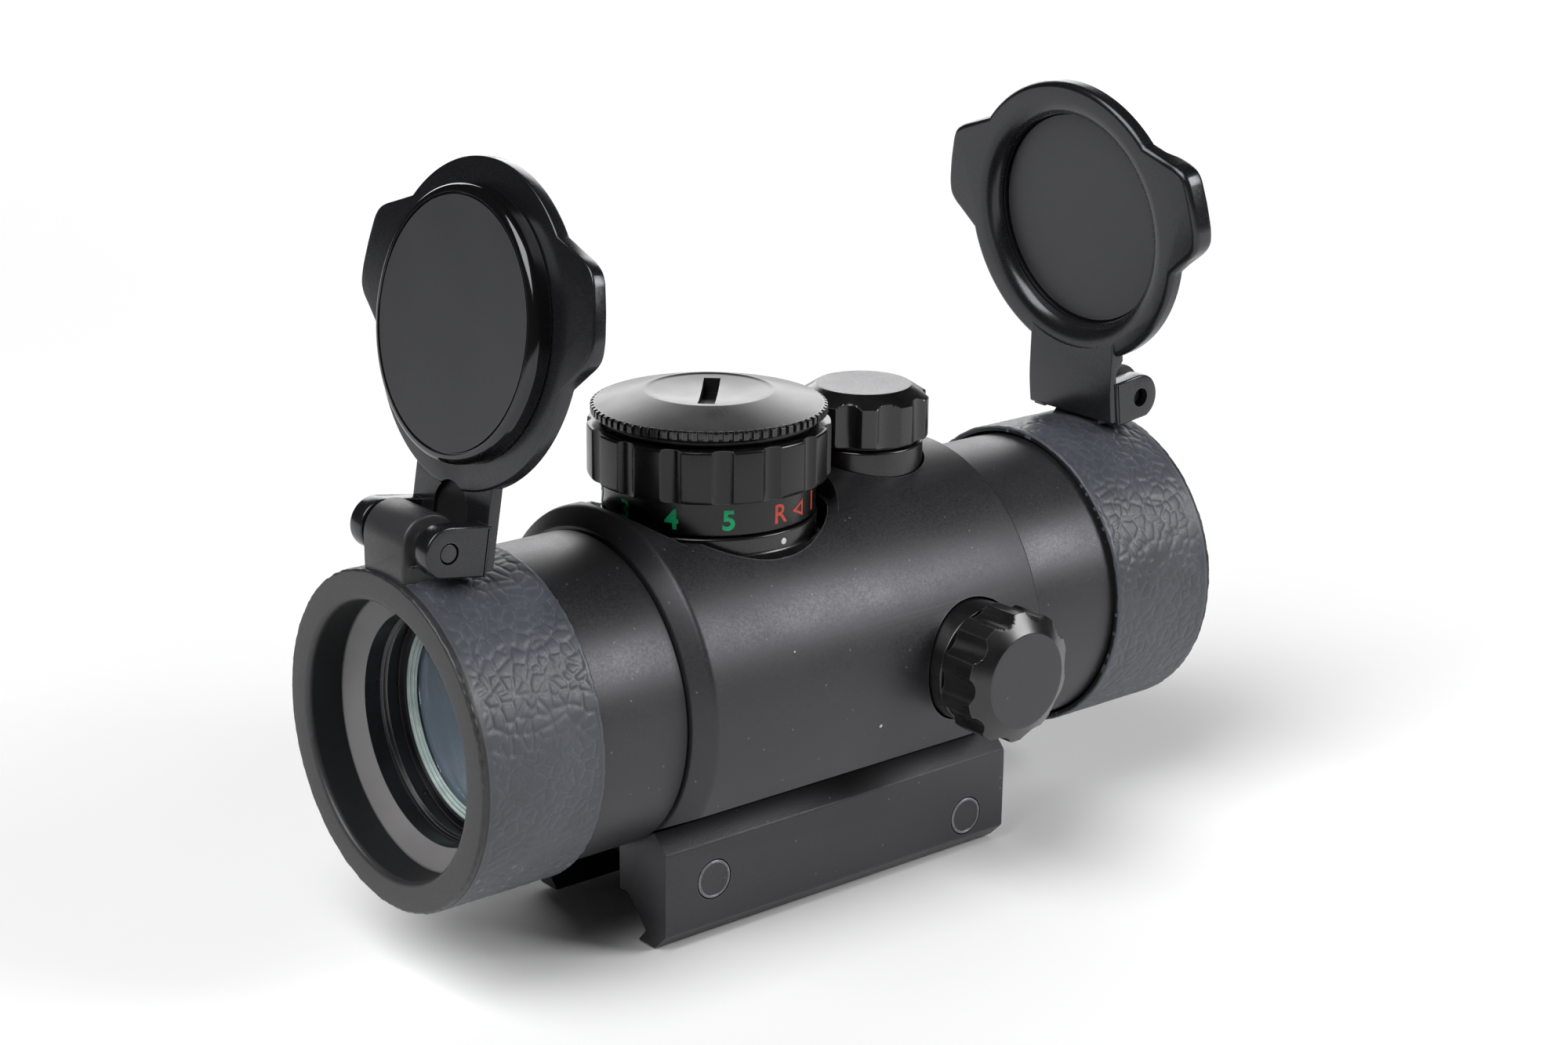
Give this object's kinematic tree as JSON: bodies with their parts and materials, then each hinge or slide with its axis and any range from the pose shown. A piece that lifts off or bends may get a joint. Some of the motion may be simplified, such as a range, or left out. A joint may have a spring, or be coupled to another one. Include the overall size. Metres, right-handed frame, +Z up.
{
  "type": "tube red dot sight",
  "caption": "Black tube red dot sight with flip-up lens covers on rubber rings, a brightness dial, capped adjusters and a two-jaw rail clamp.",
  "frame": {"origin": "middle of the flat seat that rests on the rail", "axes": "+X along the tube from the eyepiece towards the target, +Z up from the rail, +Y towards the clamp screws' heads"},
  "size_m": [0.1268, 0.0578, 0.1027],
  "materials": {
    "anodised_black": "bead-blasted satin black anodising",
    "turned_black": "bright-turned glossy black anodising on the dial, caps and turrets",
    "ring_rubber": "moulded dark blue-grey rubber with a pebbled outside",
    "cover_plastic": "satin black moulded plastic",
    "plug_plastic": "glossy black moulded plastic",
    "holder_plastic": "plain black plastic",
    "steel": "plain turned steel",
    "black_steel": "blackened steel",
    "brass": "turned brass",
    "coated_glass": "clear glass with a pale green coating",
    "board": "green circuit board",
    "lamp": "clear red emitter",
    "seal_rubber": "smooth black rubber"
  },
  "bodies": {
    "housing": {"main_body": "anodised_black", "eyepiece_tube": "anodised_black", "objective_tube": "anodised_black", "eyepiece_window": "coated_glass", "eyepiece_retaining_ring": "anodised_black", "eyepiece_rubber_ring": "ring_rubber", "objective_rubber_ring": "ring_rubber", "eyepiece_hinge_pin": "black_steel", "objective_hinge_pin": "black_steel", "eyepiece_torsion_spring": "steel", "objective_torsion_spring": "steel", "dial_base": "turned_black", "switch_board": "board", "click_ball": "steel", "click_spring": "steel", "elevation_turret": "turned_black", "windage_turret": "turned_black", "rail_mount": "anodised_black", "mount_screw_rear": "black_steel", "mount_screw_front": "black_steel", "return_spring": "steel"},
    "eyepiece_cover": {"eyepiece_cover_frame": "cover_plastic", "eyepiece_cover_disc": "plug_plastic"},
    "objective_cover": {"objective_cover_frame": "cover_plastic", "objective_cover_disc": "plug_plastic"},
    "dial": {"brightness_dial": "turned_black", "battery_holder": "holder_plastic", "coin_cell": "steel", "battery_contact": "brass"},
    "lid_seal": {"battery_cover_o_ring": "seal_rubber"},
    "battery_lid": {"battery_cover": "turned_black", "battery_spring": "steel"},
    "elevation_push": {"elevation_plunger": "brass"},
    "elevation_screw": {"elevation_adjuster_screw": "brass"},
    "windage_push": {"windage_plunger": "brass"},
    "windage_screw": {"windage_adjuster_screw": "brass"},
    "elevation_seal": {"elevation_cap_seal": "seal_rubber"},
    "elevation_lid": {"elevation_cap": "turned_black"},
    "windage_seal": {"windage_cap_seal": "seal_rubber"},
    "windage_lid": {"windage_cap": "turned_black"},
    "gimbal": {"pivot_seat": "brass"},
    "carrier": {"carrier_tube": "anodised_black", "objective_lens": "coated_glass", "objective_retaining_ring": "anodised_black", "light_holder": "holder_plastic", "light_source": "lamp"},
    "jaw": {"clamp_jaw": "anodised_black"},
    "rear_screw": {"clamp_screw_rear": "black_steel"},
    "front_screw": {"clamp_screw_front": "black_steel"}
  },
  "joints": [
    {"name": "eyepiece_cover_hinge", "type": "hinge", "parent": "housing", "child": "eyepiece_cover", "pos_m": [-0.0565, 0, 0.0517], "axis": [0, -1, 0], "range_deg": [0, 189.3], "stiffness_Nm_per_rad": 0.0015, "springref_deg": -28.65},
    {"name": "objective_cover_hinge", "type": "hinge", "parent": "housing", "child": "objective_cover", "pos_m": [0.0616, 0, 0.0517], "axis": [0, 1, 0], "range_deg": [0, 186.75], "stiffness_Nm_per_rad": 0.0015, "springref_deg": -28.65},
    {"name": "dial_turn", "type": "hinge", "parent": "housing", "child": "dial", "pos_m": [-0.0105, 0, 0.052], "axis": [0, 0, 1], "continuous": true},
    {"name": "lid_seal_slide", "type": "slide", "parent": "dial", "child": "lid_seal", "axis": [0, 0, 1], "range_m": [0, 0.00225]},
    {"name": "battery_lid_turn", "type": "hinge", "parent": "lid_seal", "child": "battery_lid", "pos_m": [-0.0105, 0, 0.06], "axis": [0, 0, 1], "range_deg": [0, 1080.5]},
    {"name": "elevation_push_slide", "type": "slide", "parent": "housing", "child": "elevation_push", "axis": [0, 0, 1], "range_m": [-0.0005, 0.0005]},
    {"name": "elevation_screw_turn", "type": "hinge", "parent": "elevation_push", "child": "elevation_screw", "pos_m": [0.0161, 0, 0.053], "axis": [0, 0, 1], "range_deg": [-360.5, 360.5]},
    {"name": "windage_push_slide", "type": "slide", "parent": "housing", "child": "windage_push", "axis": [0, -1, 0], "range_m": [-0.0005, 0.0005]},
    {"name": "windage_screw_turn", "type": "hinge", "parent": "windage_push", "child": "windage_screw", "pos_m": [0.0161, -0.027, 0.0262], "axis": [0, -1, 0], "range_deg": [-360.5, 360.5]},
    {"name": "elevation_seal_slide", "type": "slide", "parent": "housing", "child": "elevation_seal", "axis": [0, 0, 1], "range_m": [0, 0.0045]},
    {"name": "elevation_lid_turn", "type": "hinge", "parent": "elevation_seal", "child": "elevation_lid", "pos_m": [0.0161, 0, 0.055], "axis": [0, 0, 1], "range_deg": [0, 2160.5]},
    {"name": "windage_seal_slide", "type": "slide", "parent": "housing", "child": "windage_seal", "axis": [0, -1, 0], "range_m": [0, 0.0045]},
    {"name": "windage_lid_turn", "type": "hinge", "parent": "windage_seal", "child": "windage_lid", "pos_m": [0.0161, -0.029, 0.0262], "axis": [0, -1, 0], "range_deg": [0, 2160.5]},
    {"name": "carrier_yaw", "type": "hinge", "parent": "housing", "child": "gimbal", "pos_m": [-0.031, 0, 0.0262], "axis": [0, 0, 1], "range_deg": [-0.62, 0.62]},
    {"name": "carrier_pitch", "type": "hinge", "parent": "gimbal", "child": "carrier", "pos_m": [-0.031, 0, 0.0262], "axis": [0, 1, 0], "range_deg": [-0.62, 0.62]},
    {"name": "jaw_slide", "type": "slide", "parent": "housing", "child": "jaw", "axis": [0, 1, 0], "range_m": [0, 0.0024]},
    {"name": "rear_screw_turn", "type": "hinge", "parent": "jaw", "child": "rear_screw", "pos_m": [-0.02185, 0.0166, 0.0026], "axis": [0, 1, 0], "range_deg": [0, 1080.5]},
    {"name": "front_screw_turn", "type": "hinge", "parent": "jaw", "child": "front_screw", "pos_m": [0.0226, 0.0166, -0.0003], "axis": [0, 1, 0], "range_deg": [0, 1080.5]}
  ],
  "couplings": [
    {"joint": "battery_lid_turn", "follows": "lid_seal_slide", "rad_per_m": 8377.6},
    {"joint": "elevation_screw_turn", "follows": "elevation_push_slide", "rad_per_m": 12566},
    {"joint": "carrier_pitch", "follows": "elevation_push_slide", "rad_per_m": -21.231},
    {"joint": "windage_screw_turn", "follows": "windage_push_slide", "rad_per_m": 12566},
    {"joint": "carrier_yaw", "follows": "windage_push_slide", "rad_per_m": -21.231},
    {"joint": "elevation_lid_turn", "follows": "elevation_seal_slide", "rad_per_m": 8377.6},
    {"joint": "windage_lid_turn", "follows": "windage_seal_slide", "rad_per_m": 8377.6},
    {"joint": "rear_screw_turn", "follows": "jaw_slide", "rad_per_m": 7854},
    {"joint": "front_screw_turn", "follows": "jaw_slide", "rad_per_m": 7854}
  ]
}
